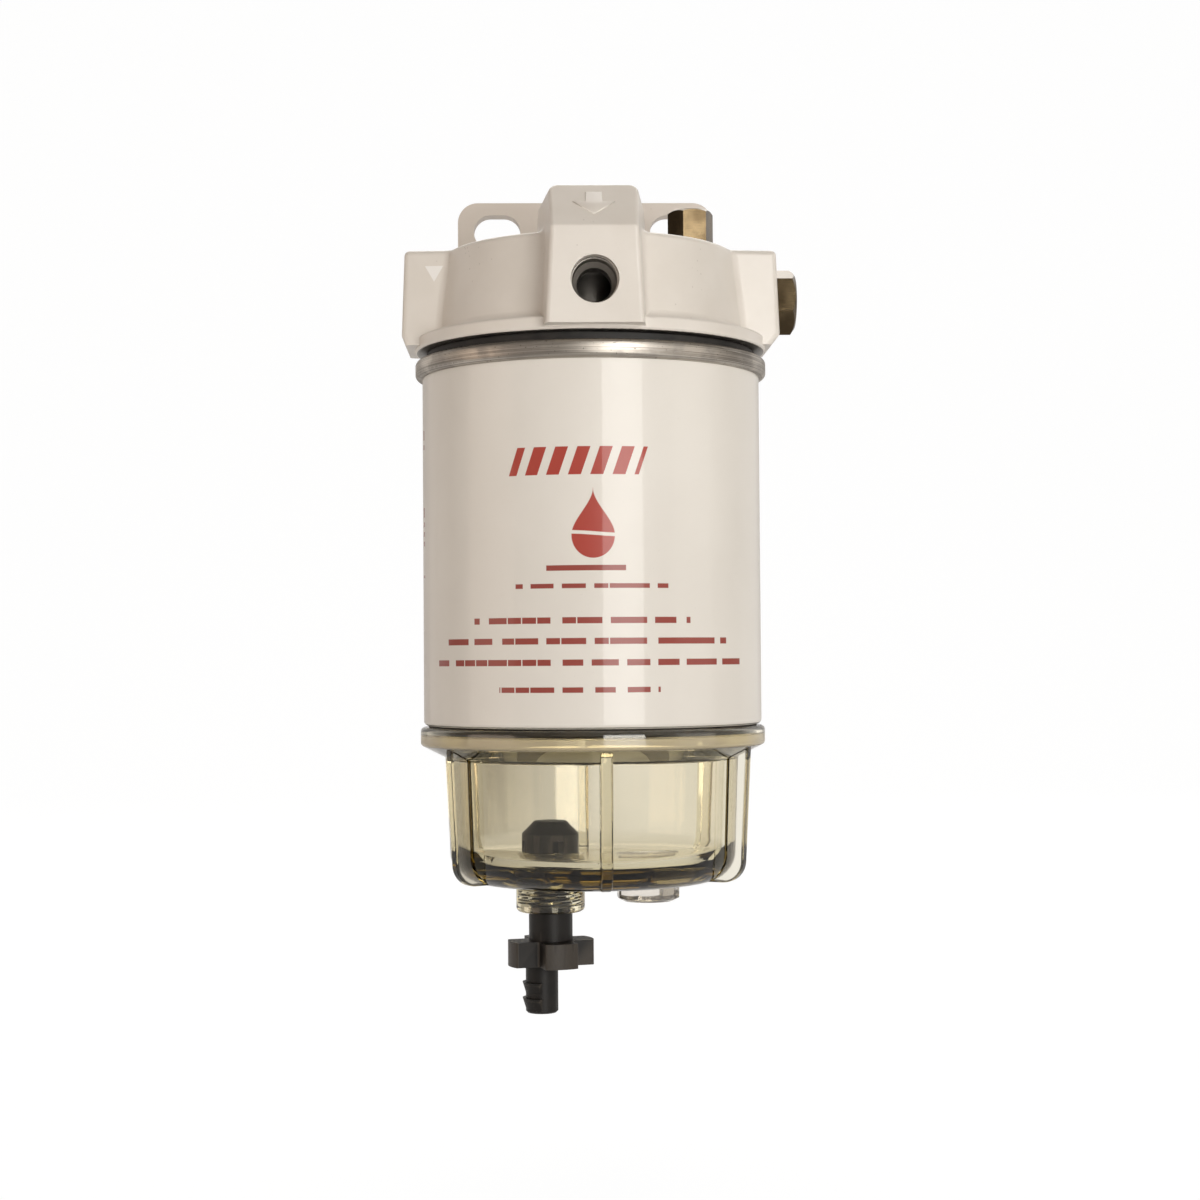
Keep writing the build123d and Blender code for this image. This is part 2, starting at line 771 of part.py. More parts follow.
# Perforated tube that holds the paper up from inside
with BuildPart() as centre_tube:
    band = ring(
        side_view,
        centre_tube_radius - centre_tube_sheet,
        centre_tube_radius,
        element_foot_z + cap_sheet,
        element_top_z - cap_sheet,
    )
    revolve(band, axis=can_axis)
    row_pitch = (element_length - 2 * cap_sheet) / tube_hole_rows
    for row in range(tube_hole_rows):
        height = element_foot_z + cap_sheet + row_pitch * (row + 0.5)
        stagger = 180 / tube_holes_round * (row % 2)
        for turn in range(tube_holes_round // 2):
            angle = radians(stagger + turn * 360 / tube_holes_round)
            across = (cos(angle), sin(angle), 0)
            with BuildSketch(Plane(origin=(0, axis_y, height), z_dir=across)):
                Circle(tube_hole_radius)
            extrude(amount=centre_tube_radius + bite, both=True, mode=Mode.SUBTRACT)
centre_tube.part.label = "centre_tube"
export_step(centre_tube.part, "parts/centre_tube.step")

# Leaf spring that stands on the thread ring and lifts the element
spring_top = element_foot_z
spring_foot = thread_ring_top_z
spring_ring_radius = element_radius - spring_ring_inset
spring_knee = neck_radius - spring_knee_inset
spring_reach = can_bore - spring_foot_inset
with BuildPart() as spring_leg:
    leg = outline(
        Plane.XZ,
        (spring_ring_radius - spring_ring_width, spring_top),
        (spring_ring_radius, spring_top, spring_bend),
        (spring_knee, spring_foot + spring_sheet, spring_bend),
        (spring_reach, spring_foot + spring_sheet),
        (spring_reach, spring_foot),
        (spring_knee - spring_slant, spring_foot, spring_bend),
        (spring_ring_radius - spring_slant, spring_top - spring_sheet, spring_bend),
        (spring_ring_radius - spring_ring_width, spring_top - spring_sheet),
    )
    extrude(leg, amount=spring_leg_width / 2, both=True)

with BuildPart() as element_spring:
    band = ring(
        side_view,
        spring_ring_radius - spring_ring_width,
        spring_ring_radius,
        spring_top - spring_sheet,
        spring_top,
    )
    revolve(band, axis=can_axis)
    with Locations(*ring_of_places(spring_leg_count)):
        add(spring_leg.part)
element_spring.part.label = "element_spring"
export_step(element_spring.part, "parts/element_spring.step")

# Rubber ring in the groove on top of the bowl's collar, pressed against the can's foot
with BuildPart() as bowl_gasket:
    band = ring(
        side_view,
        neck_radius + bowl_gasket_gap,
        groove_radius - bowl_gasket_gap / 3,
        groove_floor_z,
        can_foot_z,
        rubber_round,
    )
    revolve(band, axis=can_axis)
bowl_gasket.part.label = "bowl_gasket"
export_step(bowl_gasket.part, "parts/bowl_gasket.step")

# Clear water bowl: threaded neck, collar, shoulder, ribbed wall and thick floor
neck_bore = neck_radius - neck_wall
foot_bore = bowl_foot_radius - bowl_wall
with BuildPart() as bowl_rib:
    fin = outline(
        Plane.XZ,
        (bowl_wall_radius - rib_bite, collar_foot_z + rib_top_gap),
        (rib_top_radius, collar_foot_z + rib_top_gap),
        (rib_foot_radius, bowl_foot_z + rib_foot_rise, rib_foot_round),
        (bowl_foot_radius - bowl_outer_round, bowl_foot_z + rib_foot_rise),
        (bowl_foot_radius - bowl_outer_round, floor_z - bite),
        (bowl_foot_radius - rib_bite, bowl_foot_z + bowl_outer_round),
    )
    extrude(fin, amount=rib_thickness / 2, both=True)
    outer_edges = bowl_rib.edges().filter_by(lambda edge: edge.center().X > bowl_wall_radius)
    fillet(outer_edges.filter_by(Axis.Y, reverse=True), rib_edge_round)

with BuildPart() as water_bowl:
    shell = outline(
        side_view,
        (neck_bore, collar_top_z + neck_height),
        (neck_radius, collar_top_z + neck_height, neck_top_round),
        (neck_radius, groove_floor_z),
        (groove_radius, groove_floor_z),
        (groove_radius, collar_top_z),
        (collar_radius, collar_top_z, collar_round),
        (collar_radius, collar_foot_z, collar_round),
        (bowl_wall_radius, shoulder_foot_z, shoulder_foot_round),
        (bowl_foot_radius, bowl_foot_z, bowl_outer_round),
        (0, bowl_foot_z),
        (0, floor_z),
        (foot_bore, floor_z, bowl_inner_round),
        (neck_bore, shoulder_foot_z),
    )
    revolve(shell, axis=can_axis)
    with Locations(*ring_of_places(rib_count, bowl_clocking - 90)):
        add(bowl_rib.part)
    # Drain boss below the floor, with its bore, its seat and the hole through the floor
    spigot = outline(
        drain_view,
        (0, boss_foot_z),
        (drain_boss_radius, boss_foot_z, drain_boss_bevel),
        (drain_boss_radius, floor_z - bite),
        (0, floor_z - bite),
    )
    revolve(spigot, axis=drain_axis)
    way = outline(
        drain_view,
        (0, boss_foot_z),
        (stem_radius + thread_clearance + mouth_bevel, boss_foot_z),
        (stem_radius + thread_clearance, boss_foot_z + mouth_bevel),
        (stem_radius + thread_clearance, valve_seat_z),
        (drain_hole_radius, valve_seat_z),
        (drain_hole_radius, floor_z),
        (0, floor_z),
    )
    revolve(way, axis=drain_axis, mode=Mode.SUBTRACT)
    # Probe port, with a recess for its ring
    tapped = outline(
        probe_view,
        (0, bowl_foot_z),
        (probe_shank_radius + probe_ring_section, bowl_foot_z),
        (probe_shank_radius + probe_ring_section, probe_recess_z),
        (probe_shank_radius + thread_clearance, probe_recess_z),
        (probe_shank_radius + thread_clearance, floor_z),
        (0, floor_z),
    )
    revolve(tapped, axis=probe_axis, mode=Mode.SUBTRACT)
water_bowl.part.label = "water_bowl"
export_step(water_bowl.part, "parts/water_bowl.step")

# Clear plug in the probe port, eight-sided under a round collar, and its ring
with BuildPart() as probe_port_plug:
    turned = outline(
        probe_view,
        (0, probe_foot_z),
        (probe_plug_radius - probe_head_bevel, probe_foot_z),
        (probe_plug_radius, probe_foot_z + probe_head_bevel / 2),
        (probe_plug_radius, bowl_foot_z, probe_collar_round),
        (probe_shank_radius, bowl_foot_z),
        (probe_shank_radius, floor_z - mouth_bevel),
        (probe_shank_radius - mouth_bevel, floor_z),
        (0, floor_z),
    )
    revolve(turned, axis=probe_axis)
    with BuildSketch(Plane(origin=(*probe_centre, probe_foot_z))):
        Circle(probe_plug_radius + bite)
        RegularPolygon(probe_plug_radius, 8, rotation=probe_turn, mode=Mode.SUBTRACT)
    extrude(amount=probe_head_height, mode=Mode.SUBTRACT)
probe_port_plug.part.label = "probe_port_plug"
export_step(probe_port_plug.part, "parts/probe_port_plug.step")

with BuildPart() as probe_plug_ring:
    band = ring(
        probe_view,
        probe_shank_radius + probe_ring_gap,
        probe_shank_radius + probe_ring_section - probe_ring_gap,
        bowl_foot_z,
        probe_recess_z,
        rubber_round,
    )
    revolve(band, axis=probe_axis)
probe_plug_ring.part.label = "probe_plug_ring"
export_step(probe_plug_ring.part, "parts/probe_plug_ring.step")

# Black strainer cap that stands on the bowl's floor over the drain hole
strainer_bore = drain_hole_radius - strainer_tube_wall
with BuildPart() as drain_strainer:
    cap = outline(
        drain_view,
        (strainer_bore, floor_z - strainer_tube_depth),
        (drain_hole_radius - thread_clearance, floor_z - strainer_tube_depth),
        (drain_hole_radius - thread_clearance, floor_z),
        (drain_seat_radius, floor_z),
        (drain_seat_radius, floor_z + drain_seat_height - drain_seat_bevel, drain_seat_round),
        (drain_seat_radius - drain_seat_bevel, floor_z + drain_seat_height, drain_seat_round),
        (0, floor_z + drain_seat_height),
        (0, floor_z + drain_slot_height + bite),
        (strainer_bore, floor_z + drain_slot_height),
    )
    revolve(cap, axis=drain_axis)
    with BuildSketch(Plane(origin=(*drain_centre, floor_z))):
        Rectangle(3 * drain_seat_radius, drain_seat_slot, rotation=knob_clocking)
        Rectangle(drain_seat_slot, 3 * drain_seat_radius, rotation=knob_clocking)
    extrude(amount=drain_slot_height, mode=Mode.SUBTRACT)
drain_strainer.part.label = "drain_strainer"
export_step(drain_strainer.part, "parts/drain_strainer.step")

# Rubber ring that the drain valve presses up against its seat
valve_top_z = valve_seat_z - valve_ring_section
with BuildPart() as drain_valve_ring:
    band = ring(
        drain_view,
        valve_pin_radius + valve_ring_gap,
        stem_radius - valve_ring_gap,
        valve_top_z,
        valve_seat_z,
        rubber_round,
    )
    revolve(band, axis=drain_axis)
drain_valve_ring.part.label = "drain_valve_ring"
export_step(drain_valve_ring.part, "parts/drain_valve_ring.step")

# Drain valve, one moulding: pin, stem, cross knob and the offset hose barb
barb_centre = (drain_centre[0] - barb_offset, drain_centre[1])
barb_axis = Axis((*barb_centre, 0), (0, 0, 1))
barb_view = Plane(origin=(*barb_centre, 0), x_dir=(0, 1, 0), z_dir=(1, 0, 0))
cross_hole_z = valve_top_z - cross_hole_drop
neck_foot_z = valve_top_z - valve_neck_length
knob_arm = (cos(radians(knob_clocking)), sin(radians(knob_clocking)), 0)
with BuildPart() as drain_valve:
    stem = outline(
        drain_view,
        (0, knob_top_z - bite),
        (stem_radius, knob_top_z - bite),
        (stem_radius, boss_foot_z),
        (stem_thread_radius, boss_foot_z + mouth_bevel),
        (stem_thread_radius, neck_foot_z - valve_neck_step),
        (valve_neck_radius, neck_foot_z),
        (valve_neck_radius, valve_top_z),
        (valve_pin_radius, valve_top_z),
        (valve_pin_radius, valve_seat_z + valve_pin_rise, rubber_round),
        (0, valve_seat_z + valve_pin_rise),
    )
    revolve(stem, axis=drain_axis)
    with BuildSketch(Plane(origin=(*drain_centre, knob_foot_z), x_dir=knob_arm)) as cross:
        Rectangle(2 * knob_tip_radius, knob_arm_width)
        Rectangle(knob_arm_width, 2 * knob_tip_radius)
        Circle(knob_tip_radius, mode=Mode.INTERSECT)
        fillet(cross.vertices(), knob_corner_round)
    extrude(amount=knob_height)
    with BuildSketch(Plane(origin=(*barb_centre, knob_foot_z + bite))):
        Circle(barb_radius)
    extrude(amount=-(barb_length + bite))
    foot_rim = drain_valve.edges().group_by(Axis.Z)[0]
    chamfer(foot_rim, barb_tip_bevel)
    # Two hooks that hold a hose, moulded on the left half of the barb only
    for hook_rise in (barb_tip_bevel, barb_tip_bevel + hook_spacing):
        hook_foot = barb_foot_z + hook_rise
        hook_top = hook_foot + hook_height
        hook = outline(
            barb_view,
            (-bite, hook_foot),
            (-barb_radius + hook_sink, hook_foot),
            (-barb_radius - barb_hook, hook_top),
            (-bite, hook_top),
        )
        revolve(hook, axis=barb_axis, revolution_arc=-180)
    with BuildSketch(Plane(origin=(*barb_centre, barb_foot_z))):
        Circle(barb_bore_radius)
    extrude(amount=barb_length + knob_height - barb_bore_roof, mode=Mode.SUBTRACT)
    with BuildSketch(Plane(origin=(*drain_centre, knob_foot_z + valve_bore_start))):
        Circle(valve_bore_radius)
    extrude(amount=cross_hole_z - knob_foot_z - valve_bore_start, mode=Mode.SUBTRACT)
    with BuildSketch(Plane(origin=(*drain_centre, cross_hole_z), z_dir=(1, 0, 0))):
        Circle(cross_hole_radius)
    extrude(amount=stem_radius + bite, both=True, mode=Mode.SUBTRACT)
drain_valve.part.label = "drain_valve"
export_step(drain_valve.part, "parts/drain_valve.step")
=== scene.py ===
"""Looks of the spin-on fuel filter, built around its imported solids.

Lengths are in metres and +Z is up. The can's axis stands at x = 0, y = AXIS_Y, and the
front of the filter looks along -Y.
"""

from math import atan, cos, pi, radians, sin

import bpy
import numpy as np
from mathutils import Matrix, Vector


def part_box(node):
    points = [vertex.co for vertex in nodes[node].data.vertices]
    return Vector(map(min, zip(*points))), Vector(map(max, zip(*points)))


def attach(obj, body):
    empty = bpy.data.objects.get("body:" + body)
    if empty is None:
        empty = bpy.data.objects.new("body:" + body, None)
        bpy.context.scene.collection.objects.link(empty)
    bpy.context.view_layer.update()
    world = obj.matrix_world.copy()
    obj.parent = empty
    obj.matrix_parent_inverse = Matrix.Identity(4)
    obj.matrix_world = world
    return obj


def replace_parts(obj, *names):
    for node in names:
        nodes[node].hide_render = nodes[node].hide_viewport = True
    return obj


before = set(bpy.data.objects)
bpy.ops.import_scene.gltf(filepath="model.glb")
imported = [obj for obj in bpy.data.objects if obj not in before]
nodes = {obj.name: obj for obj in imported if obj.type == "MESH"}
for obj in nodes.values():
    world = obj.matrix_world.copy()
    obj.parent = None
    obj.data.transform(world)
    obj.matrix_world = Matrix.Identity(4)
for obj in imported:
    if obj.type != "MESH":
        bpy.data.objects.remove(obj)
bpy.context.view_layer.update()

MM = 0.001
MICRON = 0.000001

# Axes and main faces of the solids
AXIS_Y = -54.0 * MM
INLET_Z = -31.8 * MM
OUTLET_Z = -29.5 * MM
HEAD_TOP = -17.0 * MM
GASKET_FACE = -44.0 * MM
CHAMBER_ROOF = -23.0 * MM
CAN_FOOT = -146.3 * MM
CAN_RADIUS = 46.5 * MM
COLLAR_FOOT = -151.6 * MM
BOWL_FOOT = -189.0 * MM

# Bare metal of the head: how far it reaches from the can's axis and from the ports' axes, and
# where the ports' bores are bare, along y for the inlet and along x for the outlet
CHAMBER_REACH = 37.0 * MM
COLUMN_REACH = 13.0 * MM
PORT_REACH = 6.75 * MM
INLET_BARE = (-102.4 * MM, -82.0 * MM)
OUTLET_BARE = (30.0 * MM, 47.5 * MM)

# Painted highlight, a pale triangle of glare on the left boss: its tip, its top and the steepness of
# its sides
GLINT_TIP_X = -42.6 * MM
GLINT_TIP_Z = -26.0 * MM
GLINT_TOP = -21.4 * MM
GLINT_STEEPNESS = 1.75

# Print on the can: heights, and arc lengths to the right of the front line. Each line is its
# left end, right end, foot and top in millimetres.
PRINT_EDGE = 0.16 * MM
TITLE_Z = -77.5 * MM
TITLE_BAR_PITCH = 5.73 * MM
DROP_Z = -93.5 * MM
DROP_ARC = -0.8 * MM
DROP_SIZE = 9.0 * MM
UNDERLINE = (-13.0, 7.6, -105.7, -104.3)
DASHED_LINES = (
    (-21.5, 19.1, -110.2, -109.0),
    (-34.7, 25.7, -119.2, -117.6),
    (-45.6, 38.6, -124.5, -122.9),
    (-51.0, 45.0, -130.0, -128.4),
    (-26.5, 16.7, -136.9, -135.5),
)
SIDE_LINE_TURN = -1.40
SIDE_LINE_Z = (-106.0 * MM, -62.0 * MM)

# Threads: pitches, and where the neck's thread starts at the front
PORT_PITCH = 1.41 * MM
DRAIN_PITCH = 1.5 * MM
NIPPLE_PITCH = 1.814 * MM
NECK_PITCH = 3.0 * MM
NECK_START = -144.5 * MM

# Sloped top of the front boss: distance ahead of the can's axis and height, at its foot and its top
SLOPE_FOOT = (51.33 * MM, HEAD_TOP - 1.0 * MM)
SLOPE_TOP = (40.33 * MM, HEAD_TOP + 11.6 * MM)

FLOOR_Z = -262.0 * MM
PHOTO_PIXELS = 1200


class Wire:
    """A socket that takes part in sums, so that 1 - mask adds a Math node."""

    def __init__(self, finish, socket):
        self.finish = finish
        self.socket = socket

    def maths(self, operation, *others):
        return self.finish.node("ShaderNodeMath", {"operation": operation}, self, *others)

    def reflected(self, operation, other):
        return self.finish.node("ShaderNodeMath", {"operation": operation}, other, self)

    def __add__(self, other):
        return self.maths("ADD", other)

    def __radd__(self, other):
        return self.reflected("ADD", other)

    def __sub__(self, other):
        return self.maths("SUBTRACT", other)

    def __rsub__(self, other):
        return self.reflected("SUBTRACT", other)

    def __mul__(self, other):
        return self.maths("MULTIPLY", other)

    def __rmul__(self, other):
        return self.reflected("MULTIPLY", other)

    def __truediv__(self, other):
        return self.maths("DIVIDE", other)

    def __lt__(self, other):
        return self.maths("LESS_THAN", other)

    def __gt__(self, other):
        return self.maths("GREATER_THAN", other)

    def __abs__(self):
        return self.maths("ABSOLUTE")

    def fract(self):
        return self.maths("FRACT")

    def root(self):
        return self.maths("SQRT")

    def largest(self, *others):
        """The largest of this wire and the others, which joins masks."""
        result = self
        for other in others:
            result = result.maths("MAXIMUM", other)
        return result

    def between(self, low, high):
        """1 where the value lies between low and high, and 0 elsewhere."""
        return (self > low) * (self < high)

    def ramp(self, low, high):
        """0 below low, 1 above high and a smooth rise between."""
        settings = {"interpolation_type": "SMOOTHSTEP"}
        limits = {"From Min": low, "From Max": high}
        return self.finish.node("ShaderNodeMapRange", settings, Value=self, **limits)

    def near(self, middle, half, soft):
        """1 within half of the middle, falling to 0 over the soft width."""
        return 1 - abs(self - middle).ramp(half - soft / 2, half + soft / 2)


class Finish:
    """One material, with a Principled shader and helpers for the nodes that feed it."""

    def __init__(self, name, **constants):
        self.material = bpy.data.materials.new(name)
        self.material.use_nodes = True
        self.tree = self.material.node_tree
        self.tree.nodes.clear()
        self.shader = self.tree.nodes.new("ShaderNodeBsdfPrincipled")
        self.output = self.tree.nodes.new("ShaderNodeOutputMaterial")
        self.show(self.surface())
        self.set(**constants)

    def surface(self):
        return Wire(self, self.shader.outputs[0])

    def show(self, shader):
        """Make a shader the material's surface."""
        self.tree.links.new(shader.socket, self.output.inputs["Surface"])

    def set(self, **inputs):
        """Give the shader's sockets a value or a wire."""
        for key, value in inputs.items():
            self.feed(self.shader.inputs[key.replace("_", " ")], value)

    def feed(self, socket, value):
        if isinstance(value, Wire):
            self.tree.links.new(value.socket, socket)
        elif isinstance(value, tuple) and len(value) == 3 and socket.type == "RGBA":
            socket.default_value = (*value, 1.0)
        else:
            socket.default_value = value

    def node(self, kind, settings, *places, output=0, **sockets):
        """A node of that kind: its settings first, then its sockets by place or by name."""
        made = self.tree.nodes.new(kind)
        for key, value in settings.items():
            setattr(made, key, value)
        for socket, value in zip(made.inputs, places):
            self.feed(socket, value)
        for key, value in sockets.items():
            self.feed(made.inputs[key], value)
        return Wire(self, made.outputs[output])

    def place(self):
        return self.node("ShaderNodeTexCoord", {}, output="Object")

    def axes(self):
        """The three object coordinates."""
        split = self.node("ShaderNodeSeparateXYZ", {}, Vector=self.place()).socket.node
        return [Wire(self, socket) for socket in split.outputs]

    def turn(self):
        """Distance from the can's axis, the turn about it from the front, and the height."""
        x, y, z = self.axes()
        ahead = AXIS_Y - y
        return (x * x + ahead * ahead).root(), x.maths("ARCTAN2", ahead), z

    def stretched(self, *scale):
        """Object coordinates scaled by a number for each axis."""
        return self.node("ShaderNodeVectorMath", {"operation": "MULTIPLY"}, self.place(), scale)

    def joined(self, x, y, z):
        return self.node("ShaderNodeCombineXYZ", {}, x, y, z)

    def noise(self, scale, detail, vector=None):
        sockets = {"Vector": vector or self.place(), "Scale": scale, "Detail": detail}
        return self.node("ShaderNodeTexNoise", {}, **sockets)

    def spots(self, scale):
        """Distance to the nearest of many scattered points."""
        return self.node("ShaderNodeTexVoronoi", {}, Vector=self.place(), Scale=scale)

    def mixed(self, mask, low, high):
        """The low colour where the mask is 0 and the high colour where it is 1."""
        made = self.tree.nodes.new("ShaderNodeMix")
        made.data_type = "RGBA"
        self.feed(made.inputs["Factor"], mask)
        self.feed(made.inputs[6], low)
        self.feed(made.inputs[7], high)
        return Wire(self, made.outputs[2])

    def blend(self, mask, low, high):
        """A number that goes from low to high as the mask goes from 0 to 1."""
        return low + mask * (high - low)

    def bump(self, height, strength):
        """A normal from a height in metres."""
        sockets = {"Height": height, "Strength": strength, "Distance": 1.0}
        return self.node("ShaderNodeBump", {}, **sockets)

    def veil(self, mask, colour, roughness):
        """Lay a lit, clouded skin over the shader where the mask is not 0."""
        sockets = {"Base Color": colour, "Roughness": roughness}
        skin = self.node("ShaderNodeBsdfPrincipled", {}, **sockets)
        self.show(self.node("ShaderNodeMixShader", {}, mask, self.surface(), skin))


def dress(material, *names):
    """Give the solids of those names one material."""
    for name in names:
        slots = nodes[name].data.materials
        slots.clear()
        slots.append(material)


# Finishes


def bare_metal(finish):
    """Mask of the head's machined faces: both bores, the chamber, its column and the gasket face."""
    reach, _, _ = finish.turn()
    x, y, z = finish.axes()
    over_inlet = z - INLET_Z
    over_outlet = z - OUTLET_Z
    beside_outlet = y - AXIS_Y
    from_inlet = (over_inlet * over_inlet + x * x).root()
    from_outlet = (over_outlet * over_outlet + beside_outlet * beside_outlet).root()
    inlet = (from_inlet < PORT_REACH) * y.between(*INLET_BARE)
    outlet = (from_outlet < PORT_REACH) * abs(x).between(*OUTLET_BARE)
    chamber = (reach < CHAMBER_REACH) * (z < CHAMBER_ROOF + 0.2 * MM)
    column = (reach < COLUMN_REACH) * (z < CHAMBER_ROOF + 2.0 * MM)
    seat = z < GASKET_FACE + 0.08 * MM
    return inlet.largest(outlet, chamber, seat, column)


def head_paint():
    """Cream enamel on a die casting, with painted shade on the bracket's plate, and bare where it is
    machined.
    """
    finish = Finish("cream_head_enamel", Coat_Weight=0.25, Coat_Roughness=0.12)
    bare = bare_metal(finish)
    x, y, z = finish.axes()
    mottle = finish.noise(55, 4)
    fleck = (1 - finish.spots(420).ramp(0.05, 0.13)) * (finish.noise(38, 1) > 0.56)
    # Painted shade: the bracket's plate behind the head is darkened and browned, standing in for the
    # head's shadow
    plate = y.ramp(-14.0 * MM, -6.0 * MM)
    # Painted highlight: a pale triangle of glare on the left boss's face
    above_tip = (z - GLINT_TIP_Z) - abs(x - GLINT_TIP_X) * GLINT_STEEPNESS
    painted_glint = above_tip.ramp(0, 0.5 * MM) * (z < GLINT_TOP) * (y < -60.0 * MM)
    paint = finish.mixed(mottle.ramp(0.3, 0.7), (0.775, 0.724, 0.658), (0.825, 0.776, 0.714))
    paint = finish.mixed(fleck * 0.35, paint, (0.42, 0.37, 0.32))
    # Painted shade laid on the bracket's plate
    paint = finish.mixed(plate * 0.38, paint, (0.45, 0.36, 0.29))
    # Painted highlight laid over the paint
    paint = finish.mixed(painted_glint * 0.8, paint, (0.97, 0.95, 0.92))
    alloy = finish.mixed(finish.noise(300, 3), (0.22, 0.20, 0.18), (0.36, 0.335, 0.30))
    finish.set(Base_Color=finish.mixed(bare, paint, alloy))
    finish.set(Metallic=bare * 0.9)
    finish.set(Roughness=finish.blend(bare, 0.36 + mottle * 0.08, 0.42))
    peel = finish.noise(700, 2) * (12 * MICRON) + finish.noise(150, 2) * (50 * MICRON)
    finish.set(Normal=finish.bump(peel, 0.7))
    return finish.material


def slanted_title(arc, z):
    """A row of slanted bars: the fraction of a pitch along the slanted arc cuts it up."""
    slant = arc - (z - TITLE_Z) * 0.35
    block = slant.near(-4.8 * MM, 17.2 * MM, PRINT_EDGE) * z.near(TITLE_Z, 3.6 * MM, PRINT_EDGE)
    part = ((slant + 100.0 * MM) / TITLE_BAR_PITCH).fract()
    return block * part.ramp(0.40, 0.43)


def plain_drop(arc, z):
    """A drop: a half ellipse below, a smooth taper to a point above, and a wavy level across it."""
    lift = (z - DROP_Z) / DROP_SIZE
    below = lift + 0.35
    taper = 1 - lift.ramp(-0.35, 1.0)
    belly = (1 - below * below / 0.42).largest(0).root()
    half = 0.62 * ((lift > -0.35) * taper + (lift < -0.35) * belly)
    inside = 1 - (abs(arc - DROP_ARC) / DROP_SIZE - half).ramp(-0.015, 0.015)
    level = lift + (arc / (5.6 * MM)).maths("SINE") * 0.05
    return inside * lift.between(-0.999, 1.0) * (1 - level.near(-0.30, 0.05, 0.02))


def printed_marks(finish, turn, z):
    """Masks of the bold print, bars and a drop, and of the fine print, plain lines cut into dashes."""
    arc = turn * CAN_RADIUS

    def bar(left, right, foot, top):
        across = arc.near((left + right) / 2 * MM, (right - left) / 2 * MM, PRINT_EDGE)
        return across * z.near((foot + top) / 2 * MM, (top - foot) / 2 * MM, PRINT_EDGE)

    lines = bar(*UNDERLINE)
    for number, line in enumerate(DASHED_LINES, 1):
        dashes = finish.noise(240, 0, finish.joined(arc, float(number), 0)) > 0.43
        lines = lines.largest(bar(*line) * dashes)
    side_dashes = finish.noise(380, 0, finish.joined(z, 9.0, 0)) > 0.5
    side_line = turn.near(SIDE_LINE_TURN, 0.020, 0.004) * z.between(*SIDE_LINE_Z) * side_dashes
    return slanted_title(arc, z).largest(plain_drop(arc, z)), lines.largest(side_line)


def can_paint():
    """Glossy white paint over drawn steel, printed in red, bare and grey inside."""
    finish = Finish("white_can_paint", Coat_Weight=0.3, Coat_Roughness=0.03, Specular_IOR_Level=0.2)
    reach, turn, z = finish.turn()
    inside = (reach < CAN_RADIUS - 0.3 * MM) * (z > CAN_FOOT + 0.3 * MM)
    bold, fine = printed_marks(finish, turn, z)
    drift = finish.noise(22, 3)
    graze = finish.noise(1, 3, finish.joined(turn * 30, z * 900, 0)).ramp(0.70, 0.76)
    paint = finish.mixed(drift.ramp(0.3, 0.7), (0.808, 0.770, 0.712), (0.848, 0.812, 0.754))
    paint = finish.mixed(graze * 0.10, paint, (0.50, 0.45, 0.42))
    paint = finish.mixed(fine * 0.95, paint, (0.31, 0.040, 0.026))
    paint = finish.mixed(bold * 0.95, paint, (0.43, 0.035, 0.018))
    steel = finish.mixed(finish.noise(160, 3), (0.30, 0.30, 0.29), (0.42, 0.42, 0.41))
    finish.set(Base_Color=finish.mixed(inside, paint, steel))
    finish.set(Metallic=inside * 0.85)
    finish.set(Roughness=finish.blend(inside, 0.30 + drift * 0.06, 0.42))
    ripple = finish.noise(60, 2, finish.stretched(1, 1, 0.25)) * (40 * MICRON)
    ripple = ripple + finish.noise(1400, 1) * (2 * MICRON)
    finish.set(Normal=finish.bump(ripple, 0.6))
    return finish.material


def rolled_steel():
    """Bare rolled sheet with rings from the seaming rolls, scratches and dull spots."""
    finish = Finish("bare_rolled_steel", Metallic=0.92)
    reach, turn, z = finish.turn()
    rings = finish.noise(1, 3, finish.joined(turn * 1.2, z * 5200, reach * 5200))
    marks = finish.noise(1, 2, finish.joined(turn * 55, z * 1500, 4.0)).ramp(0.66, 0.72)
    dull = finish.noise(90, 4).ramp(0.45, 0.62)
    steel = finish.mixed(rings.ramp(0.32, 0.68), (0.25, 0.225, 0.195), (0.55, 0.505, 0.45))
    steel = finish.mixed(dull * 0.4, steel, (0.20, 0.19, 0.18))
    finish.set(Base_Color=finish.mixed(marks * 0.7, steel, (0.085, 0.075, 0.065)))
    finish.set(Roughness=0.33 + dull * 0.16 + rings * 0.08)
    finish.set(Normal=finish.bump(rings * (50 * MICRON) - marks * (20 * MICRON), 0.8))
    return finish.material


def plated_steel():
    """Zinc plate, faintly yellow, over turned or pressed steel."""
    finish = Finish("zinc_plated_steel", Metallic=0.95)
    reach, turn, z = finish.turn()
    rings = finish.noise(1, 2, finish.joined(turn * 2, z * 3000, reach * 3000))
    cloud = finish.noise(70, 3)
    finish.set(Base_Color=finish.mixed(cloud, (0.47, 0.45, 0.39), (0.62, 0.60, 0.53)))
    finish.set(Roughness=0.26 + cloud * 0.16)
    finish.set(Normal=finish.bump(rings * (20 * MICRON), 0.6))
    return finish.material


def spring_steel():
    """Dark oiled strip with a faint straw tint."""
    finish = Finish("dark_spring_strip", Metallic=0.9)
    cloud = finish.noise(120, 3)
    finish.set(Base_Color=finish.mixed(cloud, (0.13, 0.12, 0.11), (0.26, 0.235, 0.20)))
    finish.set(Roughness=0.30 + cloud * 0.15)
    finish.set(Normal=finish.bump(finish.noise(900, 2) * (10 * MICRON), 0.5))
    return finish.material


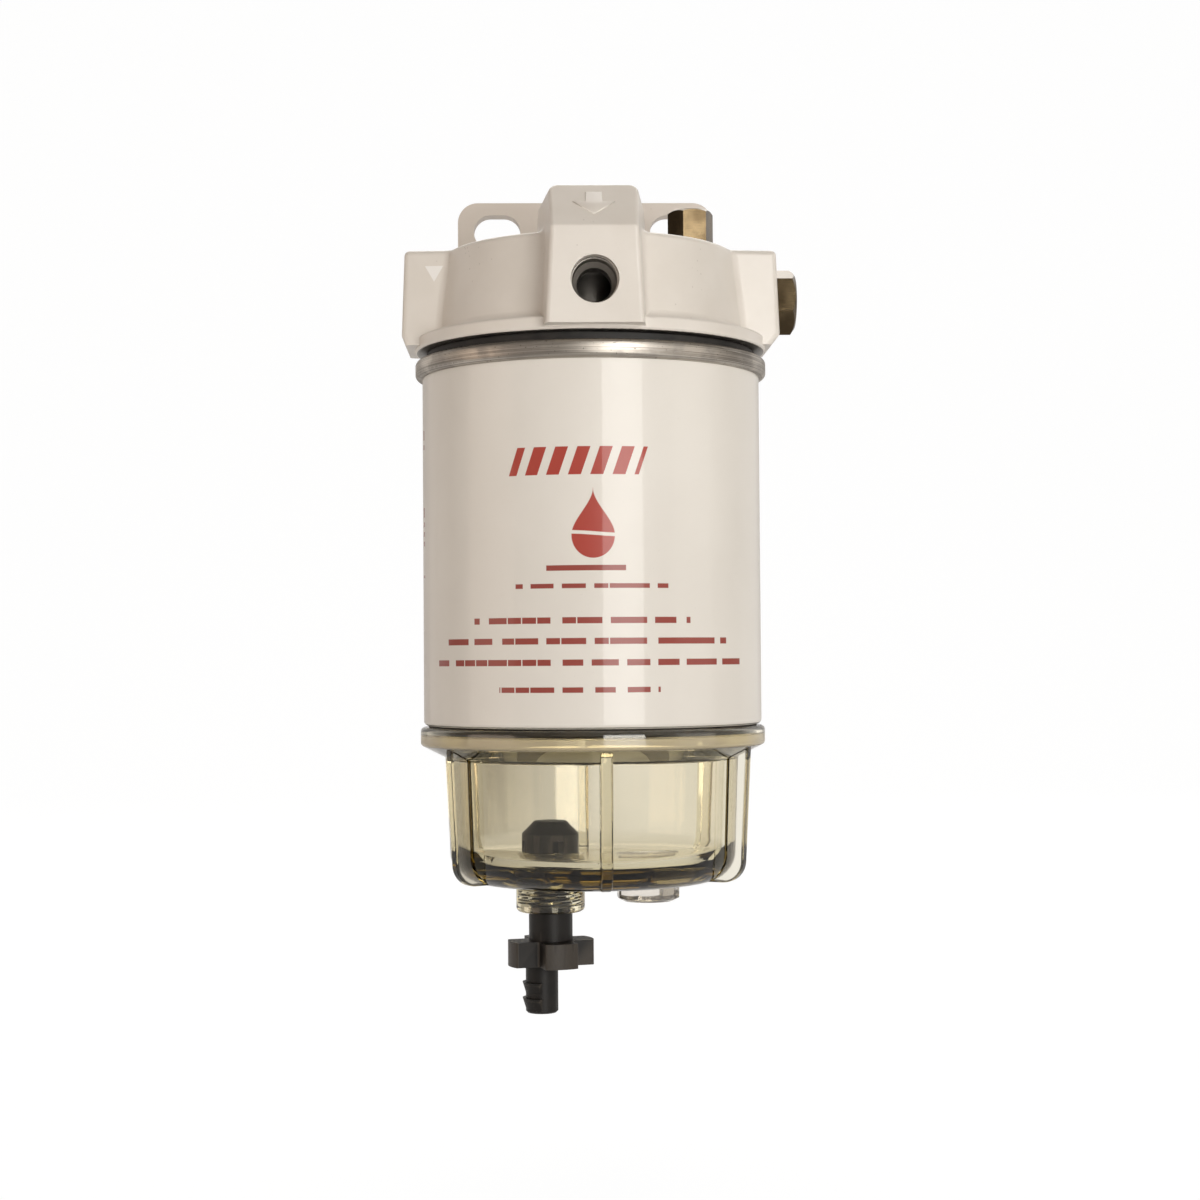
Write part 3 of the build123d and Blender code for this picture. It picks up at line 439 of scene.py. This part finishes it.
def brass():
    """Turned hexagon brass, browned in clouds and small dark spots."""
    finish = Finish("browned_brass", Metallic=0.96)
    cloud = finish.noise(140, 4)
    grain = finish.noise(1, 2, finish.stretched(500, 500, 4000))
    spots = 1 - finish.spots(900).ramp(0.08, 0.22)
    tint = finish.mixed(cloud.ramp(0.35, 0.65), (0.060, 0.042, 0.022), (0.115, 0.084, 0.046))
    finish.set(Base_Color=finish.mixed(spots * 0.35, tint, (0.09, 0.06, 0.025)))
    finish.set(Roughness=0.17 + cloud * 0.12)
    finish.set(Normal=finish.bump(grain * (30 * MICRON), 0.6))
    return finish.material


def rubber(name, dark, light):
    """Moulded rubber with a dry bloom, between a dark and a light tint."""
    finish = Finish(name)
    bloom = finish.noise(160, 4)
    finish.set(Base_Color=finish.mixed(bloom.ramp(0.35, 0.7), dark, light))
    finish.set(Roughness=0.52 + bloom * 0.2)
    finish.set(Normal=finish.bump(finish.noise(1800, 2) * (20 * MICRON), 0.7))
    return finish.material


def black_moulding():
    """Glass-filled black plastic with a fine grain, lighter on its sharp convex edges."""
    finish = Finish("black_brown_moulding", Specular_IOR_Level=0.3)
    cloud = finish.noise(120, 4)
    grain = finish.noise(1500, 2)
    # Lighter where the surface is sharply convex, on the edges
    convex_edge_lightening = finish.node("ShaderNodeNewGeometry", {}, output="Pointiness").ramp(0.53, 0.58)
    tint = finish.mixed(cloud.ramp(0.3, 0.7), (0.005, 0.0043, 0.0036), (0.011, 0.0088, 0.007))
    finish.set(Base_Color=finish.mixed(convex_edge_lightening * 0.5, tint, (0.09, 0.075, 0.06)))
    finish.set(Roughness=0.34 + cloud * 0.12 + grain * 0.08)
    finish.set(Normal=finish.bump(grain * (25 * MICRON), 0.6))
    return finish.material


def clear_amber():
    """Clear amber moulding: a pale tint, depth that darkens its thick floor, a cloudy collar."""
    finish = Finish("clear_amber_moulding", Transmission_Weight=1.0, IOR=1.5)
    flow = finish.noise(35, 2, finish.stretched(1, 1, 2.2))
    finish.set(Base_Color=finish.mixed(flow, (0.945, 0.915, 0.852), (0.965, 0.941, 0.888)))
    finish.set(Roughness=0.02 + flow * 0.02)
    dimples = flow * (80 * MICRON) + finish.noise(220, 1) * (6 * MICRON)
    finish.set(Normal=finish.bump(dimples, 0.5))
    sockets = {"Color": (0.930, 0.914, 0.850), "Density": 400.0}
    depth = finish.node("ShaderNodeVolumeAbsorption", {}, **sockets)
    finish.tree.links.new(depth.socket, finish.output.inputs["Volume"])
    reach, _, z = finish.turn()
    collar = reach.ramp(43.5 * MM, 45.0 * MM) * z.near(COLLAR_FOOT + 1.3 * MM, 1.5 * MM, 1.0 * MM)
    finish.veil(collar * 0.5, (0.84, 0.72, 0.48), 0.3)
    return finish.material


def clear_plug():
    """Clear, faintly warm moulding of the probe plug."""
    finish = Finish("clear_warm_plug", Transmission_Weight=0.92, IOR=1.5)
    flow = finish.noise(90, 2)
    finish.set(Base_Color=finish.mixed(flow, (0.86, 0.80, 0.72), (0.93, 0.89, 0.83)))
    finish.set(Roughness=0.08 + flow * 0.05)
    finish.set(Normal=finish.bump(flow * (50 * MICRON), 0.5))
    return finish.material


def filter_paper():
    """Resin-treated paper: fibres, and painted shade that darkens it deep in the folds."""
    finish = Finish("resin_treated_paper", Roughness=0.85)
    reach, _, _ = finish.turn()
    fibre = finish.noise(1, 4, finish.stretched(2600, 2600, 900))
    # Painted shade: the paper darkens towards the pleats' inner edges, deep in the folds
    tint = finish.mixed(reach.ramp(17.0 * MM, 34.0 * MM), (0.36, 0.25, 0.12), (0.62, 0.50, 0.30))
    finish.set(Base_Color=finish.mixed(fibre.ramp(0.4, 0.7) * 0.5, tint, (0.72, 0.62, 0.44)))
    finish.set(Normal=finish.bump(fibre * (60 * MICRON), 0.7))
    return finish.material


paint = head_paint()
amber = clear_amber()
black_plastic = black_moulding()
zinc = plated_steel()
black_rubber = rubber("black_gasket_rubber", (0.010, 0.009, 0.008), (0.030, 0.026, 0.023))
brown_rubber = rubber("brown_black_band", (0.012, 0.010, 0.008), (0.045, 0.036, 0.028))
dress(paint, "filter_head")
dress(can_paint(), "can_shell")
dress(rolled_steel(), "seam_lid")
dress(zinc, "centre_nipple", "thread_plate", "bowl_thread_ring")
dress(zinc, "top_end_cap", "bottom_end_cap", "centre_tube")
dress(spring_steel(), "element_spring")
dress(brass(), "side_port_plug", "top_vent_plug")
dress(black_rubber, "head_gasket", "nipple_grommet", "probe_plug_ring", "drain_valve_ring")
dress(brown_rubber, "bowl_gasket")
dress(amber, "water_bowl")
dress(clear_plug(), "probe_port_plug")
dress(black_plastic, "drain_valve", "drain_strainer")
dress(filter_paper(), "pleated_media")


# New pieces


def grid_object(name, points, material, round_section=False, round_path=False, caps=False):
    """A smooth object from a grid of points: rows run along it and columns go over its section.

    Each face has the corners (row, column), (row, next column), (next row, next column) and
    (next row, column). A round section joins the last column to the first, and a round path
    joins the last row to the first. Caps close the first and the last row.
    """
    rows, columns, _ = points.shape
    row = np.arange(rows if round_path else rows - 1)[:, None]
    column = np.arange(columns if round_section else columns - 1)[None, :]
    here = row * columns
    ahead = (row + 1) % rows * columns
    beside = (column + 1) % columns
    corners = np.broadcast_arrays(here + column, here + beside, ahead + beside, ahead + column)
    faces = np.stack(corners, -1).reshape(-1, 4).tolist()
    if caps:
        faces.append(list(range(columns - 1, -1, -1)))
        faces.append(list(range((rows - 1) * columns, rows * columns)))
    mesh = bpy.data.meshes.new(name)
    mesh.from_pydata(points.reshape(-1, 3).tolist(), [], faces)
    mesh.shade_smooth()
    mesh.validate()
    mesh.materials.append(material)
    made = bpy.data.objects.new(name, mesh)
    bpy.context.scene.collection.objects.link(made)
    return made


def settle(piece, body):
    """Let a piece ride on a body."""
    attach(piece, body)
    return piece


def thread_ridge(name, centre, axis, start, pitch, turns, wall, crest, material, root=0.44):
    """A ridge of four-cornered section wound along an axis.

    The ridge's middle goes round the axis by an angle and along it by the pitch for each
    turn. Its section has a broad root at the wall's radius and a narrow flat at the crest's
    radius, and it shrinks to nothing over a third of a turn at each end. The root's and the
    flat's half widths are shares of the pitch.
    """
    flat = 0.07
    angle = np.linspace(0, 2 * pi * turns, int(turns * 48) + 1)
    fade = np.clip(np.minimum(angle, angle[-1] - angle) / (2 * pi / 3), 0.02, 1)
    axis = Vector(axis)
    ahead = Vector((0, -1, 0)) if axis.z else Vector((0, 0, 1))
    across = axis.cross(ahead)
    radii = np.array([wall, crest, crest, wall])
    along = np.array([-root, -flat, flat, root]) * pitch
    section_radius = wall + (radii[None, :] - wall) * fade[:, None]
    section_along = along[None, :] * fade[:, None] + (start + pitch * angle / (2 * pi))[:, None]
    outwards = np.cos(angle)[:, None] * np.array(ahead) + np.sin(angle)[:, None] * np.array(across)
    points = section_radius[..., None] * outwards[:, None, :]
    points = points + section_along[..., None] * np.array(axis) + np.array(centre)
    if crest < wall:
        points = points[:, ::-1]
    return grid_object(name, points, material, round_section=True, caps=True)


def ring_object(name, radii, heights, around, material):
    """A closed ring on the can's axis from a radius for each height and turn from the front."""
    x = radii * np.sin(around)
    y = AXIS_Y - radii * np.cos(around)
    points = np.stack([x, y, np.broadcast_to(heights[:, None], radii.shape)], -1)
    return grid_object(name, points, material, round_section=True, round_path=True)


def threaded_tube(name, foot, top, radius, bore, pitch, depth, material):
    """A tube on the can's axis with a thread cut in its outside.

    One parameter is the turn and the other runs up the outside and down the bore. A
    point's phase is its height over the pitch, less its share of a whole turn. Over each
    phase the outside falls in two straight flanks from a flat crest by the thread's depth.
    Near both ends the crest fades out.
    """
    around = np.linspace(0, 2 * pi, 96, endpoint=False)
    height = np.linspace(foot, top, int((top - foot) / pitch * 12))
    phase = (height[:, None] / pitch - around[None, :] / (2 * pi)) % 1.0
    crest = np.clip(1.35 - 2.7 * np.abs(phase - 0.5), 0, 1)
    ends = np.clip(np.minimum(height - foot, top - height) / (0.9 * pitch), 0, 1)
    outside = radius - depth * (1 - crest * ends[:, None])
    bore_height = np.linspace(top, foot, 12)
    radii = np.concatenate([outside, np.full((bore_height.size, around.size), bore)])
    return ring_object(name, radii, np.concatenate([height, bore_height]), around, material)


def threaded_ring(name, foot, top, bore, radius, start, pitch, depth, material):
    """A ring on the can's axis with a groove wound in its bore.

    One parameter is the turn and the other runs up the bevelled outside and down the
    bore. The groove's middle goes up by the pitch for each turn. The bore is widened by
    the depth in the groove's flat floor and less on its two slanted sides.
    """
    bevel = 0.6 * MM
    around = np.linspace(0, 2 * pi, 120, endpoint=False)
    height = np.linspace(top, foot, int((top - foot) / pitch * 14))
    phase = (height[:, None] - start) / pitch - around[None, :] / (2 * pi)
    away = np.abs(phase - np.round(phase))
    groove = np.clip((0.41 - away) / 0.28, 0, 1)
    shell = np.array([radius - bevel, radius, radius, radius - bevel])
    shell_height = np.array([foot, foot + bevel, top - bevel, top])
    radii = np.concatenate([np.tile(shell[:, None], around.size), bore + depth * groove])
    return ring_object(name, radii, np.concatenate([shell_height, height]), around, material)


def raised_mark(name, corners, material):
    """A flat mark that stands out of the sloped top of the front boss.

    Its corners are millimetres across and up the slope, counter-clockwise as seen from
    the front. Each level moves the outline inwards along the bisectors of its corners and
    away from the slope by the level's height, so the edges are soft.
    """
    height = np.array([-0.4, 0.26, 0.38]) * MM
    inset = np.array([0.0, 0.06, 0.2]) * MM
    corners = np.array(corners) * MM
    edges = np.roll(corners, -1, axis=0) - corners
    edges /= np.linalg.norm(edges, axis=1)[:, None]
    outward = np.stack([edges[:, 1], -edges[:, 0]], -1)
    before = np.roll(outward, 1, axis=0)
    bisector = (outward + before) / (1 + (outward * before).sum(1))[:, None]
    flat = corners[None] - bisector[None] * inset[:, None, None]
    back = SLOPE_FOOT[0] - SLOPE_TOP[0]
    rise = SLOPE_TOP[1] - SLOPE_FOOT[1]
    length = (back * back + rise * rise) ** 0.5
    rightward = np.array([1, 0, 0])
    uphill = np.array([0, back, rise]) / length
    out = np.array([0, -rise, back]) / length
    origin = np.array([0, AXIS_Y - SLOPE_FOOT[0], SLOPE_FOOT[1]])
    points = origin + flat[..., :1] * rightward + flat[..., 1:] * uphill
    points = points + height[:, None, None] * out
    return grid_object(name, points, material, round_section=True, caps=True)


def port_threads():
    """The two open ports' taper threads, drawn straight."""
    ports = (
        ("inlet_port_thread", (0, 0, INLET_Z), (0, -1, 0), 97.1 * MM),
        ("outlet_port_thread", (0, AXIS_Y, OUTLET_Z), (-1, 0, 0), 41.6 * MM),
    )
    for name, centre, axis, start in ports:
        ridge = thread_ridge(name, centre, axis, start, PORT_PITCH, 4.0, 6.22 * MM, 5.62 * MM, paint)
        settle(ridge, "head")


def drain_threads():
    """The thread on the drain valve's stem, and the bowl's own in the boss round it."""
    low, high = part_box("drain_strainer")
    centre = ((low.x + high.x) / 2, (low.y + high.y) / 2, 0)
    up = (0, 0, 1)
    stem = thread_ridge("drain_stem_thread", centre, up, BOWL_FOOT - 7.6 * MM, DRAIN_PITCH, 2.1,
                        5.33 * MM, 5.95 * MM, black_plastic)
    settle(stem, "drain")
    boss = thread_ridge("drain_boss_thread", centre, up, BOWL_FOOT - 6.85 * MM, DRAIN_PITCH, 4.1,
                        6.08 * MM, 5.75 * MM, amber)
    settle(boss, "bowl")


def inlet_arrow():
    """A raised arrow that points down the slope to the inlet port."""
    head_half = 5.6
    stem_half = 2.2
    tip, shoulder, tail = 4.2, 9.4, 13.4
    right = [(0, tip), (head_half, shoulder), (stem_half, shoulder), (stem_half, tail)]
    left = [(-stem_half, tail), (-stem_half, shoulder), (-head_half, shoulder)]
    settle(raised_mark("inlet_arrow", right + left, paint), "head")


def nipple_thread():
    """The threaded nipple that carries the can."""
    low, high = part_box("centre_nipple")
    nipple = threaded_tube("centre_nipple_thread", low.z, high.z, 12.65 * MM, 9.2 * MM,
                           NIPPLE_PITCH, 1.05 * MM, zinc)
    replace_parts(settle(nipple, "head"), "centre_nipple")


def neck_threads():
    """The ridge on the bowl's neck, and the grooved ring in the can's foot that takes it."""
    neck = thread_ridge("bowl_neck_thread", (0, AXIS_Y, 0), (0, 0, 1), NECK_START, NECK_PITCH, 2.6,
                        40.15 * MM, 41.0 * MM, amber, root=0.36)
    settle(neck, "bowl")
    low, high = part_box("bowl_thread_ring")
    ring = threaded_ring("bowl_ring_thread", low.z, high.z, 40.3 * MM, high.x,
                         NECK_START, NECK_PITCH, 0.85 * MM, zinc)
    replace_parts(settle(ring, "can"), "bowl_thread_ring")


port_threads()
drain_threads()
inlet_arrow()
nipple_thread()
neck_threads()


# Stage, light and camera


def sweep_finish():
    """White paper: a matt sheet that takes light and shadow, mixed with a plain white glow.

    The glow shows to the camera, less in reflections, and through the clear mouldings,
    where it is dimmer towards the left.
    """
    finish = Finish("white_paper_sweep", Base_Color=(0.86, 0.86, 0.86), Roughness=0.9)
    rays = finish.tree.nodes.new("ShaderNodeLightPath").outputs
    through = Wire(finish, rays["Is Transmission Ray"])
    mirrored = Wire(finish, rays["Is Glossy Ray"]) * 0.3
    seen = Wire(finish, rays["Is Camera Ray"]).largest(mirrored, through)
    rightwards = finish.axes()[0].ramp(-0.19, 0.12)
    beyond = finish.mixed(rightwards, (0.42, 0.395, 0.345), (1.0, 1.0, 1.0))
    colour = finish.mixed(through, (1.0, 1.0, 1.0), beyond)
    glow = finish.node("ShaderNodeEmission", {}, Color=colour, Strength=1.04)
    finish.show(finish.node("ShaderNodeMixShader", {}, seen * 0.93, finish.surface(), glow))
    return finish.material


def stage_sheet():
    """A floor that turns up into a backdrop: straight, a quarter round, then upright."""
    front, back, bend, height = -2.5, 1.4, 0.5, 3.5
    curve = np.linspace(0, pi / 2, 24)
    run = np.concatenate([[front], back + bend * np.sin(curve), [back + bend]])
    rise = np.concatenate([[0.0], bend * (1 - np.cos(curve)), [height]]) + FLOOR_Z
    across = np.linspace(-4, 4, 9)
    points = np.stack(np.broadcast_arrays(across[None, :], run[:, None], rise[:, None]), -1)
    grid_object("studio_floor", points, sweep_finish())


def soft_box(name, azimuth, elevation, width, height, power, colour):
    """A rectangular lamp that faces the filter from a turn to the right and a rise in degrees."""
    distance = 1.5
    level = distance * cos(radians(elevation))
    side = level * sin(radians(azimuth))
    front = level * cos(radians(azimuth))
    away = Vector((side, -front, distance * sin(radians(elevation))))
    lamp = bpy.data.lights.new(name, "AREA")
    lamp.shape = "RECTANGLE"
    lamp.size = width
    lamp.size_y = height
    lamp.energy = power
    lamp.color = colour
    box = bpy.data.objects.new(name, lamp)
    box.location = Vector((0, AXIS_Y, -120.0 * MM)) + away
    box.rotation_euler = (-away).to_track_quat("-Z", "Y").to_euler()
    bpy.context.scene.collection.objects.link(box)


def dim_room():
    """A dim warm world that the camera sees as a pale backdrop."""
    world = bpy.data.worlds.new("pale_room")
    world.use_nodes = True
    tree = world.node_tree
    room = tree.nodes["Background"]
    room.inputs["Color"].default_value = (1.0, 0.885, 0.78, 1)
    room.inputs["Strength"].default_value = 0.17
    beyond = tree.nodes.new("ShaderNodeBackground")
    beyond.inputs["Color"].default_value = (0.97, 0.97, 0.97, 1)
    light_path = tree.nodes.new("ShaderNodeLightPath")
    either = tree.nodes.new("ShaderNodeMixShader")
    tree.links.new(light_path.outputs["Is Camera Ray"], either.inputs[0])
    tree.links.new(room.outputs[0], either.inputs[1])
    tree.links.new(beyond.outputs[0], either.inputs[2])
    tree.links.new(either.outputs[0], tree.nodes["World Output"].inputs["Surface"])
    bpy.context.scene.world = world


def studio_light():
    """A tall soft box ahead and to the right, with weaker warm fills on every other side."""
    soft_box("front_soft_box", 19, -3, 0.72, 1.3, 22.5, (1.0, 0.985, 0.955))
    soft_box("right_fill", 70, 2, 0.8, 1.3, 3.6, (1.0, 0.955, 0.89))
    soft_box("left_fill", -72, -4, 1.0, 1.3, 6.0, (1.0, 0.81, 0.67))
    soft_box("high_fill", 10, 62, 1.0, 1.0, 0.3, (1.0, 0.94, 0.87))
    soft_box("back_fill", 175, 50, 1.2, 1.2, 10.0, (1.0, 0.965, 0.92))
    soft_box("left_edge_fill", -128, 10, 0.9, 1.3, 2.0, (1.0, 0.93, 0.85))
    soft_box("right_edge_fill", 135, 10, 0.9, 1.3, 1.6, (1.0, 0.965, 0.92))
    dim_room()
    bpy.context.scene.view_settings.view_transform = "Standard"


def photo_camera():
    """The viewpoint that was fitted to the rims of the can: nearly level, a little left."""
    focal_pixels = 2132.0
    distance = 590.0 * MM
    height = -127.8 * MM
    azimuth = radians(-1.5)
    pitch = radians(1.53)
    roll = radians(0.40)
    pan = atan(8.0 / focal_pixels)
    camera = bpy.data.cameras.new("photo_camera")
    camera.sensor_width = 36.0
    camera.lens = focal_pixels / PHOTO_PIXELS * camera.sensor_width
    view = bpy.data.objects.new("photo_camera", camera)
    level = Matrix.Rotation(pi / 2 + pitch, 4, "X")
    turned = Matrix.Rotation(azimuth - pan, 4, "Z") @ level @ Matrix.Rotation(-roll, 4, "Z")
    spot = Vector((distance * sin(azimuth), AXIS_Y - distance * cos(azimuth), height))
    view.matrix_world = Matrix.Translation(spot) @ turned
    bpy.context.scene.collection.objects.link(view)
    bpy.context.scene.camera = view


stage_sheet()
studio_light()
photo_camera()
